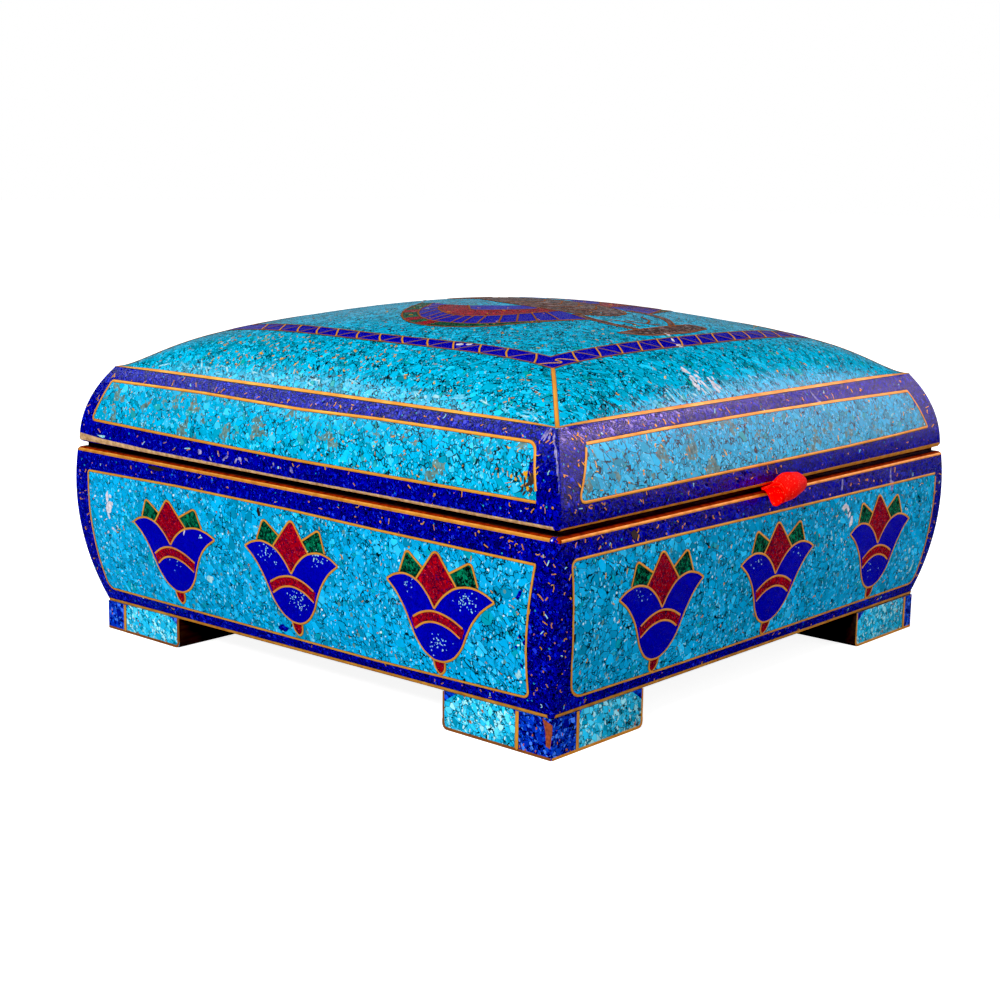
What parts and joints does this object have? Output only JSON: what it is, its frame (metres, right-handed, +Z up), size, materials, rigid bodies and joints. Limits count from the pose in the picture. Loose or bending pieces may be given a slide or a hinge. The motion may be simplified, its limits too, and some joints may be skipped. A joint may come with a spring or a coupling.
{
  "type": "inlaid jewelry box",
  "caption": "Square footed jewelry box with bulging inlaid walls and a pillow-shaped lift-off lid with a small ribbon pull.",
  "frame": {"origin": "on the surface the box stands on, under the middle of its outline with the pull tab counted", "axes": "+Z up, the front with the pull tab faces -Y, +X to the right as seen from the front"},
  "size_m": [0.2024, 0.2104, 0.109],
  "materials": {
    "inlay_body": "polished turquoise and lapis chips with flush brass wires",
    "inlay_lid": "polished turquoise and lapis chips with flush brass wires",
    "inlay_feet": "polished turquoise and lapis chips with flush brass wires",
    "ribbon": "matte woven ribbon"
  },
  "bodies": {
    "root": {"box_body": "inlay_body", "lid": "inlay_lid", "foot_front_left": "inlay_feet", "foot_front_right": "inlay_feet", "foot_back_left": "inlay_feet", "foot_back_right": "inlay_feet", "pull_tab": "ribbon"}
  },
  "joints": []
}
